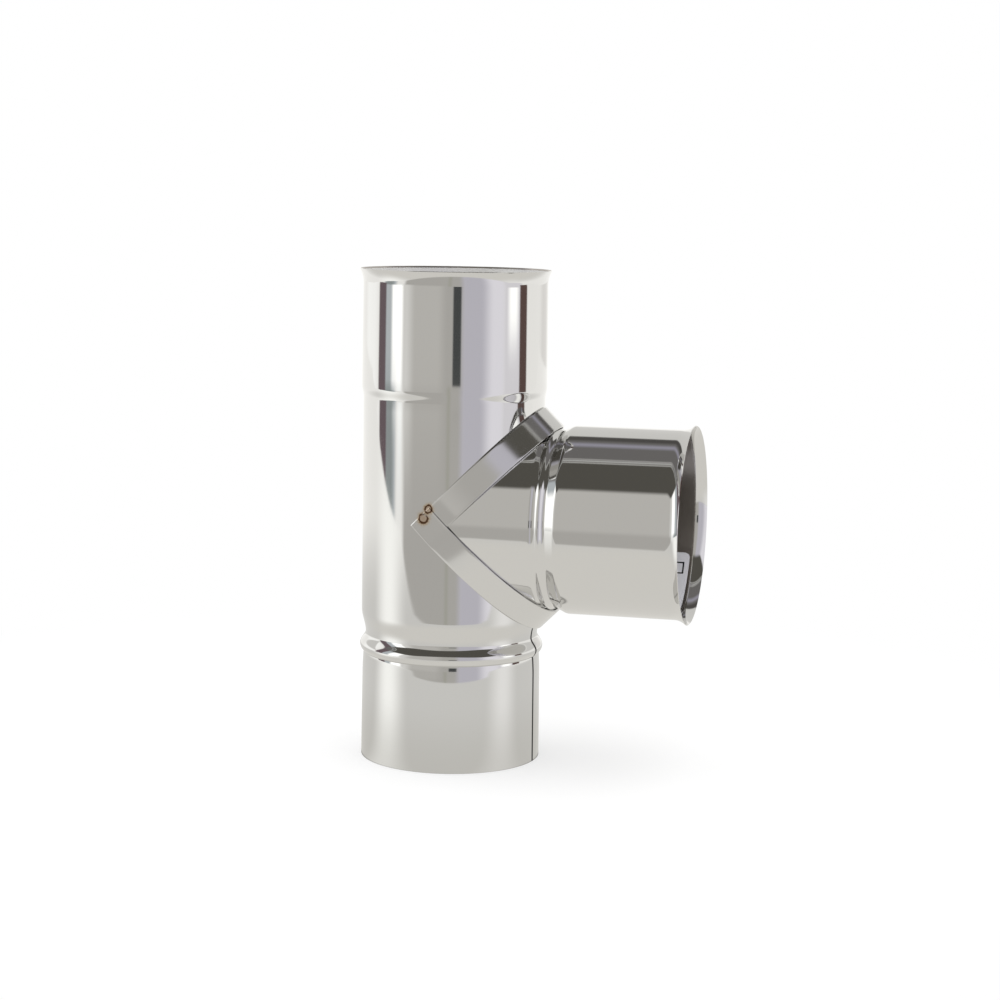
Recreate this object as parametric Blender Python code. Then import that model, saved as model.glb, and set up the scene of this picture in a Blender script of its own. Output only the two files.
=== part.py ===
"""Single-wall stainless flue tee for a 100 mm chimney, standing on its spigot.

The tee is folded and rolled from thin polished sheet. The main tube is one rolled sheet: a spigot
with a stop bead below, a plain body with a V-shaped opening, and a widened socket with a flared lip
above. The branch collar is a second tube, fish-mouthed to the same 45 degree mitres and ending in a
socket of its own. Both mitred edges are hemmed outwards, and a flat strip with turned edges is
clipped over each pair of hems. The two strips cross at the front and at the back, where the lower
one lies on the upper one.

Frame: metres, +Z up, main tube upright, branch towards +X, origin at the middle of the foot of the
bounding box. Joint coordinates are measured from the point where the two tube axes meet.
"""

import math

import bmesh
import bpy
from mathutils import Matrix, Vector

# Sheet and tube
BODY_RADIUS = 0.050
SHEET = 0.0005
FIT_GAP = 0.0003
TURN_STEPS = 64
BLEND_STEPS = 4

# Spigot, stop bead and neck at the foot of the main tube
SPIGOT_LENGTH = 0.0583
SPIGOT_END_INSET = 0.0002
SPIGOT_TOP_INSET = 0.0006
SPIGOT_CURVE = 0.0085
STOP_GROOVE_DEPTH = 0.0010
BEAD_RISE = 0.0008
BEAD_FLANK = 0.0020
BEAD_CREST = 0.0050
NECK_FLANK = 0.0046
NECK_DEPTH = 0.0018
NECK_CURVE = 0.0081

# Sockets
SOCKET_DEPTH = 0.0636
SLIP_FIT = 0.0002
SOCKET_SWELL = 0.0004
STEP_LENGTH = 0.0064
LIP_LENGTH = 0.008
LIP_FLARE = 0.0021

# Branch collar: a shallow dip, a narrow bead, a groove, a shoulder and the socket
BRANCH_SOCKET_DEPTH = 0.063
BRANCH_SOCKET_RISE = 0.0015
BRANCH_LIP_FLARE = 0.0027
COLLAR_DIP_LENGTH = 0.0026
COLLAR_DIP_DEPTH = 0.0003
COLLAR_BEAD_LENGTH = 0.0023
COLLAR_GROOVE_DEPTH = 0.0017
COLLAR_GROOVE_FLANK = 0.0035
COLLAR_SHOULDER = 0.010

# Mitred joint: hems and lock strips
STRIP_WIDTH = 0.0143
STRIP_SHEET = 0.0005
HEM_WIDTH = 0.0055
HEM_END = 0.012
HEM_ROOT_SHARE = 0.8
MITRE_BLUNT = 0.0003
LIP_LEFT_AT_CROSSING = 0.00005
CROSSING_RAMP = 0.009
CROSSING_STATIONS = 4

# Where the joint sits between the features of the two tubes
NECK_UNDER_STRIP = 0.0031
STEP_ABOVE_STRIP = 0.0049
GROOVE_UNDER_STRIP = 0.0026

# Long seam of the main tube, seen below the branch
SEAM_ANGLE = math.radians(-9.0)
SEAM_WIDTH = 0.0005
SEAM_DEPTH = 0.00025
SEAM_UNDER_STRIP = 0.001

# Paper label inside the branch socket
LABEL_END_MARGIN = 0.0052
LABEL_HEIGHT = 0.051
LABEL_CORNER = 0.0025
LABEL_THICKNESS = 0.00015
LABEL_INSET = 0.0078
LABEL_ANGLE = math.radians(-56.0)
LABEL_GAP = 0.0001

# Sizes that follow from the driving ones
ROOT2 = math.sqrt(2.0)
strip_reach = STRIP_WIDTH / ROOT2
bead_foot = SPIGOT_LENGTH + BEAD_FLANK
bead_head = bead_foot + BEAD_CREST
neck_middle = bead_head + NECK_FLANK
neck_head = neck_middle + NECK_CURVE
branch_height = neck_head - NECK_UNDER_STRIP + strip_reach + BODY_RADIUS
step_foot = branch_height + BODY_RADIUS + strip_reach + STEP_ABOVE_STRIP
socket_foot = step_foot + STEP_LENGTH
total_height = socket_foot + SOCKET_DEPTH
socket_radius = BODY_RADIUS - SPIGOT_END_INSET + SLIP_FIT + SHEET
lip_radius = socket_radius + LIP_FLARE
collar_groove_start = BODY_RADIUS + strip_reach - GROOVE_UNDER_STRIP
collar_dip_start = collar_groove_start - COLLAR_BEAD_LENGTH - COLLAR_DIP_LENGTH
collar_groove_middle = collar_groove_start + COLLAR_GROOVE_FLANK
collar_socket_start = collar_groove_middle + COLLAR_SHOULDER
branch_reach = collar_socket_start + BRANCH_SOCKET_DEPTH
label_length = BRANCH_SOCKET_DEPTH - LABEL_INSET - LABEL_END_MARGIN
branch_socket_radius = BODY_RADIUS + BRANCH_SOCKET_RISE
branch_lip_radius = branch_socket_radius + BRANCH_LIP_FLARE
main_axis_x = -(branch_reach - lip_radius) / 2.0
joint_centre = Vector((main_axis_x, 0.0, branch_height))


def clear_scene():
    """Empty the file, so that the script gives the same result wherever it is run."""
    for obj in list(bpy.data.objects):
        bpy.data.objects.remove(obj, do_unlink=True)


def principled(name, colour, metallic, roughness):
    """A plain Principled material."""
    material = bpy.data.materials.new(name)
    material.use_nodes = True
    shader = material.node_tree.nodes["Principled BSDF"]
    shader.inputs["Base Color"].default_value = (*colour, 1.0)
    shader.inputs["Metallic"].default_value = metallic
    shader.inputs["Roughness"].default_value = roughness
    return material


def new_object(name, mesh_builder, material=None, location=(0.0, 0.0, 0.0)):
    """Turn a filled bmesh into a named object."""
    bmesh.ops.recalc_face_normals(mesh_builder, faces=mesh_builder.faces)
    mesh = bpy.data.meshes.new(name)
    mesh_builder.to_mesh(mesh)
    mesh_builder.free()
    obj = bpy.data.objects.new(name, mesh)
    obj.location = location
    bpy.context.scene.collection.objects.link(obj)
    if material:
        mesh.materials.append(material)
    return obj


def as_cutter(obj):
    """Keep a helper out of the render and show it as wire."""
    obj.hide_render = True
    obj.display_type = "WIRE"
    return obj


def cut(obj, other, operation):
    """Add an exact Boolean with another object."""
    modifier = obj.modifiers.new(other.name, "BOOLEAN")
    modifier.operation = operation
    modifier.solver = "EXACT"
    modifier.object = other


def smooth(obj, angle=math.radians(30.0)):
    """Shade the rolled surfaces smooth and keep the cut edges sharp."""
    obj.data.shade_smooth()
    obj.data.set_sharp_from_angle(angle=angle)


def blend(start, end):
    """Points after start on a half cosine wave to end, each (distance along the tube, radius)."""
    points = []
    for step in range(1, BLEND_STEPS + 1):
        share = step / BLEND_STEPS
        rise = (1.0 - math.cos(math.pi * share)) / 2.0
        points.append((start[0] + share * (end[0] - start[0]), start[1] + rise * (end[1] - start[1])))
    return points


def flare(start, length, rise):
    """Points after start on a parabola that opens outwards, like the mouth of a trumpet."""
    shares = [step / BLEND_STEPS for step in range(1, BLEND_STEPS + 1)]
    return [(start[0] + share * length, start[1] + share**2 * rise) for share in shares]


def main_outline():
    """Outer line of the main tube from the spigot's end up to the rim."""
    line = [(0.0, BODY_RADIUS - SPIGOT_END_INSET)]
    line.append((SPIGOT_LENGTH - SPIGOT_CURVE, BODY_RADIUS - SPIGOT_TOP_INSET))
    line += blend(line[-1], (SPIGOT_LENGTH, BODY_RADIUS - STOP_GROOVE_DEPTH))
    line += blend(line[-1], (bead_foot, BODY_RADIUS + BEAD_RISE))
    line.append((bead_head, BODY_RADIUS + BEAD_RISE))
    line += blend(line[-1], (neck_middle, BODY_RADIUS - NECK_DEPTH))
    line += blend(line[-1], (neck_head, BODY_RADIUS))
    line.append((step_foot, BODY_RADIUS))
    line += blend(line[-1], (socket_foot, socket_radius + SOCKET_SWELL))
    line.append((total_height - LIP_LENGTH, socket_radius))
    line += flare(line[-1], LIP_LENGTH, LIP_FLARE)
    return line


def collar_outline():
    """Outer line of the branch collar from the main axis out to its rim, before the mitre cut."""
    line = [(0.0, BODY_RADIUS), (collar_dip_start, BODY_RADIUS)]
    line.append((collar_dip_start + COLLAR_DIP_LENGTH, BODY_RADIUS - COLLAR_DIP_DEPTH))
    line += blend(line[-1], (collar_groove_start, BODY_RADIUS))
    line += blend(line[-1], (collar_groove_middle, BODY_RADIUS - COLLAR_GROOVE_DEPTH))
    line += blend(line[-1], (collar_socket_start, branch_socket_radius))
    line.append((branch_reach - LIP_LENGTH, branch_socket_radius))
    line += flare(line[-1], LIP_LENGTH, BRANCH_LIP_FLARE)
    return line


def sheet_section(outer):
    """Closed section of a wall one sheet thick: the outer line, then the inner line back.

    Where the wall slopes, it is wider across than the sheet by the slope's length.
    """
    inner = []
    for index, (along, radius) in enumerate(outer):
        before = outer[max(index - 1, 0)]
        after = outer[min(index + 1, len(outer) - 1)]
        slope = (after[1] - before[1]) / (after[0] - before[0])
        inner.append((along, radius - SHEET * math.hypot(1.0, slope)))
    return outer + inner[::-1]


def revolve(section, axis):
    """Spin a closed section, given as (distance along the axis, radius), round the Z or the X axis."""
    builder = bmesh.new()
    if axis == "Z":
        corners = [builder.verts.new((radius, 0.0, along)) for along, radius in section]
        direction = (0.0, 0.0, 1.0)
    else:
        corners = [builder.verts.new((along, 0.0, radius)) for along, radius in section]
        direction = (1.0, 0.0, 0.0)
    edges = [builder.edges.new(pair) for pair in zip(corners, corners[1:] + corners[:1])]
    bmesh.ops.spin(
        builder,
        geom=corners + edges,
        cent=(0.0, 0.0, 0.0),
        axis=direction,
        angle=2.0 * math.pi,
        steps=TURN_STEPS,
        use_merge=True,
    )
    return builder


def prism(builder, outline, half_depth):
    """Extrude an outline of (x, z) corners along Y, half each way."""
    corners = [builder.verts.new((x, -half_depth, z)) for x, z in outline]
    face = builder.faces.new(corners)
    extruded = bmesh.ops.extrude_face_region(builder, geom=[face])
    moved = [item for item in extruded["geom"] if isinstance(item, bmesh.types.BMVert)]
    bmesh.ops.translate(builder, verts=moved, vec=(0.0, 2.0 * half_depth, 0.0))


def mitre_wedge(name, tip):
    """The V between the two mitre planes, which would meet at x = tip, with a blunt point."""
    builder = bmesh.new()
    far = branch_reach + BODY_RADIUS
    point = [(tip + MITRE_BLUNT, -MITRE_BLUNT), (tip + MITRE_BLUNT, MITRE_BLUNT)]
    prism(builder, [*point, (far, far - tip), (far, tip - far)], 2.0 * BODY_RADIUS)
    return as_cutter(new_object(name, builder, location=joint_centre))


def hem_layer(name, axis, windows):
    """The folded-back layer of a hem: a shell on the tube, kept inside the given windows."""
    span = BODY_RADIUS + strip_reach
    inside, outside = BODY_RADIUS - HEM_ROOT_SHARE * SHEET, BODY_RADIUS + SHEET
    section = [(-span, outside), (span, outside), (span, inside), (-span, inside)]
    layer = as_cutter(new_object(name, revolve(section, axis), location=joint_centre))
    builder = bmesh.new()
    for window in windows:
        prism(builder, window, 2.0 * BODY_RADIUS)
    cut(layer, as_cutter(new_object(name + "_window", builder, location=joint_centre)), "INTERSECT")
    return layer


def main_hem():
    """Hem of the main tube: within HEM_WIDTH of both mitres, ending before the strips cross."""
    far, band = 2.0 * BODY_RADIUS, ROOT2 * HEM_WIDTH
    window = [(HEM_END, HEM_END + band), (HEM_END, -HEM_END - band), (far, -far - band), (far, far + band)]
    return hem_layer("main_hem", "Z", [window])


def collar_hem():
    """Hem of the collar: the same band on the other side of the mitres."""
    far, band = 2.0 * BODY_RADIUS, ROOT2 * HEM_WIDTH
    upper = [(0.0, HEM_END), (HEM_END + band, HEM_END), (far + band, far), (0.0, far)]
    lower = [(x, -z) for x, z in upper]
    return hem_layer("collar_hem", "X", [upper, lower])


def seam_cutter():
    """A narrow groove down the long seam, following the tube's outer line."""
    top = branch_height - BODY_RADIUS - strip_reach + SEAM_UNDER_STRIP
    line = [point for point in main_outline() if point[0] < top]
    line = [(-SHEET, line[0][1]), *line, (top, BODY_RADIUS - NECK_DEPTH / 2.0)]
    groove = [(radius - SEAM_DEPTH, height) for height, radius in line]
    clear = BODY_RADIUS + 2.0 * BEAD_RISE
    builder = bmesh.new()
    prism(builder, [*groove, (clear, top), (clear, -SHEET)], SEAM_WIDTH / 2.0)
    cutter = new_object("seam_cutter", builder, location=(main_axis_x, 0.0, 0.0))
    cutter.rotation_euler = (0.0, 0.0, SEAM_ANGLE)
    return as_cutter(cutter)


def make_main_tube(steel):
    """Spigot, body and socket as one rolled sheet, with its hems and its V opening."""
    builder = revolve(sheet_section(main_outline()), "Z")
    tube = new_object("main_tube", builder, steel, (main_axis_x, 0.0, 0.0))
    cut(tube, main_hem(), "UNION")
    cut(tube, mitre_wedge("body_opening", -FIT_GAP / ROOT2), "DIFFERENCE")
    cut(tube, seam_cutter(), "DIFFERENCE")
    smooth(tube)


def make_branch_collar(steel):
    """Fish-mouthed branch with a narrow bead, a groove, a shoulder and a socket."""
    builder = revolve(sheet_section(collar_outline()), "X")
    collar = new_object("branch_collar", builder, steel, joint_centre)
    cut(collar, collar_hem(), "UNION")
    cut(collar, mitre_wedge("collar_mouth", FIT_GAP / ROOT2), "INTERSECT")
    smooth(collar)


def smooth_share(value, low, high):
    """0 below low, 1 above high, and an eased rise between them."""
    share = min(max((value - low) / (high - low), 0.0), 1.0)
    return share * share * (3.0 - 2.0 * share)


def strip_path():
    """Stations from the front end of a strip, over the joint, to its back end.

    Each is (outward distance u, depth y, normal in u, normal in y). The curved stretch is where the
    strip's turned edges touch both tubes: an ellipse, moved out by half the strip's width. The
    straight ends lie across the other strip.
    """
    half = STRIP_WIDTH / 2.0
    ends = [half * (2.0 * step / CROSSING_STATIONS - 1.0) for step in range(CROSSING_STATIONS)]
    front = [(u, -BODY_RADIUS, 0.0, -1.0) for u in ends]
    quarter = TURN_STEPS // 4
    turns = [step / quarter for step in range(-quarter, quarter + 1)]
    first_half_turn = 1.0 - 0.5 / quarter
    angles = sorted([*turns, -first_half_turn, first_half_turn])
    curve = []
    for share in angles:
        angle = share * math.pi / 2.0
        across, down = math.cos(angle), math.sin(angle)
        length = math.hypot(across, ROOT2 * down)
        place = (ROOT2 * BODY_RADIUS * across + half, BODY_RADIUS * down)
        curve.append((*place, across / length, ROOT2 * down / length))
    back = [(u, BODY_RADIUS, 0.0, 1.0) for u in reversed(ends)]
    return front + curve + back


def strip_section(inside, edge):
    """Channel section as (offset across, height): a flat face and two turned edges."""
    half, turned = STRIP_WIDTH / 2.0, STRIP_WIDTH / 2.0 - STRIP_SHEET
    outside, tip = inside + STRIP_SHEET, inside - edge
    face = [-half, -turned, -half / 2.0, 0.0, half / 2.0, turned, half]
    outer = [(across, outside) for across in face]
    inner = [(across, inside) for across in reversed(face[1:-1])]
    return outer + [(half, tip), (turned, tip)] + inner + [(-turned, tip), (-half, tip)]


def strip_point(station, across, height, side):
    """A point of the strip about the joint centre; past the main axis it follows the tube's round."""
    u, depth, normal_u, normal_y = station
    u += height * normal_u
    x, z = (u + across) / ROOT2, (u - across) / ROOT2
    y = depth + height * normal_y
    if x < 0.0:
        y = math.copysign(math.sqrt(y * y - x * x), y)
    return Vector((x, y, side * z))


def make_strip(name, side, crossing_height, steel):
    """A lock strip over the upper (side 1) or lower (side -1) mitre."""
    riding_height = FIT_GAP + SHEET
    edge_depth = riding_height - FIT_GAP
    half = STRIP_WIDTH / 2.0
    builder = bmesh.new()
    rings = []
    for station in strip_path():
        share = smooth_share(station[0], half + FIT_GAP, half + CROSSING_RAMP)
        inside = crossing_height + share * (riding_height - crossing_height)
        edge = LIP_LEFT_AT_CROSSING + share * (edge_depth - LIP_LEFT_AT_CROSSING)
        section = strip_section(inside, edge)
        rings.append([builder.verts.new(strip_point(station, *point, side)) for point in section])
    for ring, following in zip(rings, rings[1:]):
        for index in range(len(ring)):
            after = (index + 1) % len(ring)
            builder.faces.new((ring[index], ring[after], following[after], following[index]))
    for ring in (rings[0], rings[-1]):
        close_end(builder, ring)
    strip = new_object(name, builder, steel, joint_centre)
    smooth(strip)


def close_end(builder, ring):
    """Close a strip's end with quads between its outer and inner rows, so that a bent end stays true."""
    outer, tips_right, inner, tips_left = ring[:7], ring[7:9], ring[9:14], ring[14:16]
    builder.faces.new((outer[5], outer[6], tips_right[0], tips_right[1], inner[0]))
    builder.faces.new((outer[0], outer[1], inner[4], tips_left[0], tips_left[1]))
    for index in range(1, 5):
        builder.faces.new((outer[index], outer[index + 1], inner[4 - index], inner[5 - index]))


def rounded_rectangle(length, height, corner):
    """Outline of a rectangle with round corners, centred on zero."""
    points = []
    for quarter, (side_x, side_z) in enumerate(((1, 1), (-1, 1), (-1, -1), (1, -1))):
        centre_x, centre_z = side_x * (length / 2.0 - corner), side_z * (height / 2.0 - corner)
        for step in range(BLEND_STEPS + 1):
            angle = (quarter + step / BLEND_STEPS) * math.pi / 2.0
            points.append((centre_x + corner * math.cos(angle), centre_z + corner * math.sin(angle)))
    return points


def make_label(paper):
    """Blank paper label stuck to the far lower wall inside the branch socket."""
    outside = branch_socket_radius - SHEET - LABEL_GAP
    inside = outside - LABEL_THICKNESS
    middle = branch_reach - LABEL_INSET - label_length / 2.0
    near, away = middle - label_length, middle + label_length
    builder = revolve([(near, outside), (away, outside), (away, inside), (near, inside)], "X")
    label = new_object("inner_label", builder, paper, joint_centre)
    builder = bmesh.new()
    prism(builder, rounded_rectangle(label_length, LABEL_HEIGHT, LABEL_CORNER), BODY_RADIUS / 2.0)
    bmesh.ops.translate(builder, verts=builder.verts, vec=(0.0, BODY_RADIUS, 0.0))
    turn = Matrix.Rotation(LABEL_ANGLE, 3, "X")
    bmesh.ops.rotate(builder, verts=builder.verts, cent=(0.0, 0.0, 0.0), matrix=turn)
    bmesh.ops.translate(builder, verts=builder.verts, vec=(middle, 0.0, 0.0))
    cut(label, as_cutter(new_object("label_outline", builder, location=joint_centre)), "INTERSECT")
    smooth(label)


clear_scene()
polished_steel = principled("polished_steel", (0.78, 0.77, 0.75), 1.0, 0.08)
label_paper = principled("label_paper", (0.86, 0.86, 0.88), 0.0, 0.6)
make_main_tube(polished_steel)
make_branch_collar(polished_steel)
make_strip("upper_lock_strip", 1.0, FIT_GAP, polished_steel)
make_strip("lower_lock_strip", -1.0, 2.0 * FIT_GAP + STRIP_SHEET, polished_steel)
make_label(label_paper)
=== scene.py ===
# %% [markdown]
# # A polished flue tee
# This lesson dresses a flue tee: an upright tube of thin stainless sheet with a side branch. The CAD frame gives its
# main sizes. The pieces here are finer copies of its shapes, because a mirror shows each flat of a coarse mesh, and
# the looks come from the sheet's polish and from the light tent that it reflects.

# %% Load the frame
import math

import bmesh
import bpy
import numpy as np
from mathutils import Matrix, Vector


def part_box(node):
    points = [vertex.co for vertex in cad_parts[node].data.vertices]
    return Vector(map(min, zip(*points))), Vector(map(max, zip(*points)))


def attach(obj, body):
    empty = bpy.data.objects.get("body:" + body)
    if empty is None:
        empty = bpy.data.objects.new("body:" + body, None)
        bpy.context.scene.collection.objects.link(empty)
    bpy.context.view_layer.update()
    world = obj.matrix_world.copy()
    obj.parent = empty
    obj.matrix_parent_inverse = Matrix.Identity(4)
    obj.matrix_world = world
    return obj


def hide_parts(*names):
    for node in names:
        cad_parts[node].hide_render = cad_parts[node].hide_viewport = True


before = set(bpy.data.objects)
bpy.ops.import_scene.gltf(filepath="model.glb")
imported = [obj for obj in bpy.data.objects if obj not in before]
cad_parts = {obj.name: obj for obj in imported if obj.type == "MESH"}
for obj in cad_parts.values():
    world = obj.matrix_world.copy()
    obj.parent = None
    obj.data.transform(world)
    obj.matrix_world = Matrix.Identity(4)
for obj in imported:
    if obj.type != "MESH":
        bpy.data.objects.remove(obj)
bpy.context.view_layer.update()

# %% [markdown]
# ## Sizes
# All the curves hang on the two tube axes and on the level where they meet. They are read from the boxes of the CAD
# pieces, so the fine shapes cannot drift from the frame. The remaining values are the sheet, its gaps and its strips.

# %% Sizes shared by the pieces
BODY_RADIUS = 0.050
SHEET = 0.0005
GAP = 0.0003
STRIP_WIDTH = 0.0143
ROOT2 = math.sqrt(2.0)

tube_low, tube_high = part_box("main_tube")
branch_low, branch_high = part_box("branch_collar")
MAIN_X = (tube_low.x + tube_high.x) / 2.0
BRANCH_Z = (branch_low.z + branch_high.z) / 2.0
JOINT = np.array([MAIN_X, 0.0, BRANCH_Z])
HEIGHT = tube_high.z
REACH = branch_high.x - MAIN_X
print(f"height {HEIGHT:.4f}, branch level {BRANCH_Z:.4f}, reach {REACH:.4f}")

# %% [markdown]
# ## Surfaces as grids
# Each piece is a surface of two parameters, worked out as whole arrays: one runs along the tube, the other round it. A
# grid gives the mirror an even flow of normals, which no Boolean cut can.

# %% Grid helper
def grid_mesh(name, points, round_closed=False):
    """Mesh of a grid of points with shape (rows, columns, 3); its columns may close into a ring."""
    rows, columns = points.shape[:2]
    index = np.arange(rows * columns).reshape(rows, columns)
    if round_closed:
        index = np.concatenate([index, index[:, :1]], axis=1)
    corners = [index[:-1, :-1], index[:-1, 1:], index[1:, 1:], index[1:, :-1]]
    mesh = bpy.data.meshes.new(name)
    mesh.from_pydata(points.reshape(-1, 3).tolist(), [], np.stack(corners, axis=-1).reshape(-1, 4).tolist())
    return mesh


MERGE_DISTANCE = 2e-6


def piece_from(name, *meshes):
    """One object from several meshes, with the points that they share merged."""
    builder = bmesh.new()
    for mesh in meshes:
        builder.from_mesh(mesh)
    bmesh.ops.remove_doubles(builder, verts=builder.verts, dist=MERGE_DISTANCE)
    joined = bpy.data.meshes.new(name)
    builder.to_mesh(joined)
    builder.free()
    piece = bpy.data.objects.new(name, joined)
    bpy.context.scene.collection.objects.link(piece)
    return piece


def finish_sheet(piece, thickness=None, sharp=35.0):
    """Give a skin its wall towards the inside, then smooth it and keep its cut edges sharp."""
    if thickness:
        wall = piece.modifiers.new("wall", "SOLIDIFY")
        wall.thickness, wall.offset, wall.use_even_offset = thickness, -1.0, True
        graph = bpy.context.evaluated_depsgraph_get()
        solid = bpy.data.meshes.new_from_object(piece.evaluated_get(graph))
        piece.modifiers.clear()
        piece.data = solid
    piece.data.shade_smooth()
    piece.data.set_sharp_from_angle(angle=math.radians(sharp))
    print(piece.name, len(piece.data.polygons), "faces")
    return piece


# %% [markdown]
# ## Outlines
# The sheet is rolled over formers, so its outline is made of straight runs, soft S-shaped steps and trumpet-like
# flares. A step is half a cosine wave, a flare is a parabola, and a settle is the same parabola run backwards.

# %% Outline helper
def outline(start, *runs):
    """Line of (along, radius) from start through the runs, each (shape, along, radius, points).

    With t from 0 to 1 along a run: line is r0 + t (r1 - r0); wave is r0 + (1 - cos pi t)/2 (r1 - r0);
    flare is r0 + t squared (r1 - r0); settle is r0 + t (2 - t) (r1 - r0).
    """
    line = [np.array([start])]
    here = start
    for shape, along, radius, count in runs:
        t = np.linspace(0.0, 1.0, count + 1)[1:]
        rise = {"line": t, "wave": (1.0 - np.cos(np.pi * t)) / 2.0, "flare": t**2, "settle": t * (2.0 - t)}[shape]
        line.append(np.stack([here[0] + t * (along - here[0]), here[1] + rise * (radius - here[1])], axis=1))
        here = (along, radius)
    return np.concatenate(line)


# %% [markdown]
# ## The main tube
# One rolled sheet: spigot, stop bead and neck below, a plain body, then the socket with its flared lip. The branch
# opening is a V of two 45 degree cuts. Instead of cutting, the rows of the grid are stretched so that they end on the
# cut: at angle a round the tube, the cut lies R cos a above and below the branch level.

# %% Outlines of the foot and the head
SPIGOT_TOP, BEAD_CREST, NECK_DIP, NECK_TOP = 0.0585, 0.0624, 0.0692, 0.0822
foot_line = outline(
    (0.00001, 0.0498), ("line", 0.0475, 0.04945, 6), ("flare", 0.0520, 0.04934, 6), ("line", 0.0562, 0.04911, 5),
    ("line", 0.0573, 0.04902, 2), ("line", 0.0579, 0.04895, 1), ("line", SPIGOT_TOP, 0.04885, 1),
    ("settle", BEAD_CREST, 0.0509, 12), ("wave", NECK_DIP, 0.0478, 20), ("wave", NECK_TOP, BODY_RADIUS, 16),
)
STEP_ABOVE_STRIP, STEP_LENGTH, HEAD_LIP = 0.0049, 0.0064, 0.008
SWOLLEN_RADIUS, HEAD_RADIUS, HEAD_RIM_RADIUS = 0.0509, 0.0505, 0.0525
step_foot = BRANCH_Z + BODY_RADIUS + STRIP_WIDTH / ROOT2 + STEP_ABOVE_STRIP
head_line = outline(
    (step_foot, BODY_RADIUS), ("wave", step_foot + STEP_LENGTH, SWOLLEN_RADIUS, 14),
    ("line", HEIGHT - HEAD_LIP - 0.0005, HEAD_RADIUS, 10), ("line", HEIGHT - HEAD_LIP, HEAD_RADIUS, 1),
    ("flare", HEIGHT - 0.00025, HEAD_RIM_RADIUS, 12),
)
print("outline points:", len(foot_line), "in the foot and", len(head_line), "in the head")

# %% [markdown]
# The columns of the grid stand every 1.25 degrees round the tube, and closer at the long seam, which is a groove. Its
# section is a bell curve: depth times e to the minus square of the angle over its width.

# %% Main tube
ROUND_STEPS = 288
SEAM_ANGLE, SEAM_SPREAD, SEAM_DEPTH, SEAM_TOP = math.radians(-9.0), 0.006, 0.00022, 0.0745
around = np.linspace(-math.pi, math.pi, ROUND_STEPS + 1)[:-1]
near_seam = SEAM_ANGLE + np.linspace(-0.016, 0.016, 13)
around = np.sort(np.concatenate([around[np.abs(around - SEAM_ANGLE) > 0.024], near_seam]))


def cut_height(angle):
    """Height of the mitre cut from the branch level: R cos a on the branch side, none on the far side."""
    return np.maximum(BODY_RADIUS * np.cos(angle), 0.0) + np.where(np.cos(angle) > 1e-6, GAP / ROOT2, 0.0)


def main_part(line, straight_from, ends_below, stretch_rows=12, seam=0.0):
    """Grid of the tube's foot or head: its outline rows, then straight rows that end on the cut."""
    share = np.linspace(0.0, 1.0, stretch_rows + 1)[1:, None]
    cut = BRANCH_Z + (-1.0 if ends_below else 1.0) * cut_height(around)[None, :]
    stretched = straight_from + share * (cut - straight_from)
    heights = np.concatenate([np.repeat(line[:, :1], len(around), axis=1), stretched])
    radii = np.concatenate([np.repeat(line[:, 1:], len(around), axis=1), np.full_like(stretched, BODY_RADIUS)])
    radii = radii - seam * np.exp(-(((around[None, :] - SEAM_ANGLE) / SEAM_SPREAD) ** 2)) * (heights < SEAM_TOP)
    return np.stack([MAIN_X + radii * np.cos(around), radii * np.sin(around), heights], axis=-1)


foot = main_part(foot_line, NECK_TOP, True, seam=SEAM_DEPTH)
head = main_part(head_line[::-1], step_foot, False)[::-1]
main_tube = finish_sheet(
    piece_from("polished_main_tube", grid_mesh("foot", foot, True), grid_mesh("head", head, True)), SHEET)

# %% [markdown]
# ## The branch collar
# The same idea turned on its side: at angle a round the branch the mitre lies R |sin a| out from the main axis. A
# shallow bead and a groove stand beside the joint, then a soft shoulder widens the tube to its socket.

# %% Branch collar
dip_start, socket_start = BODY_RADIUS + 0.0035, BODY_RADIUS + 0.0192
BRANCH_RADIUS, BRANCH_RIM_RADIUS, BRANCH_LIP = 0.0515, 0.0541, 0.0070
collar_line = outline(
    (dip_start, BODY_RADIUS), ("wave", dip_start + 0.0027, 0.0494, 8), ("wave", dip_start + 0.0053, 0.0501, 10),
    ("wave", socket_start - 0.0076, 0.0487, 12), ("flare", socket_start - 0.0066, 0.04893, 5),
    ("line", socket_start - 0.0020, 0.0511, 8), ("settle", socket_start, BRANCH_RADIUS, 8),
    ("line", REACH - BRANCH_LIP - 0.0004, BRANCH_RADIUS, 6), ("line", REACH - BRANCH_LIP, BRANCH_RADIUS, 1),
    ("flare", REACH - 0.0003, BRANCH_RIM_RADIUS, 14),
)
ring = np.linspace(-math.pi, math.pi, ROUND_STEPS + 1)[:-1]
mitre = BODY_RADIUS * np.abs(np.sin(ring)) + GAP / ROOT2
share = np.linspace(0.0, 1.0, 17)[:-1, None]
straight = mitre[None, :] + share * (dip_start - mitre[None, :])
along = np.concatenate([straight, np.repeat(collar_line[:, :1], len(ring), axis=1)])
radius = np.concatenate([np.full_like(straight, BODY_RADIUS), np.repeat(collar_line[:, 1:], len(ring), axis=1)])
collar_points = np.stack(
    [MAIN_X + along, radius * np.cos(ring), BRANCH_Z + radius * np.sin(ring)], axis=-1)
branch_collar = finish_sheet(piece_from("polished_branch_collar", grid_mesh("collar", collar_points, True)), SHEET)

# %% [markdown]
# ## The lock strips
# Two flat strips with turned-in edges are clipped over the mitres. Each is a channel section carried along half an
# ellipse, which is what a 45 degree cut through a tube gives, with flat ends that cross at the front and back. The
# lower strip climbs over the upper one there. First come the path and the section.

# %% Path and section of a lock strip
def eased(value, low, high):
    """0 below low, 1 above high, and 3 t^2 - 2 t^3 between them."""
    t = np.clip((value - low) / (high - low), 0.0, 1.0)
    return t * t * (3.0 - 2.0 * t)


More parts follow.
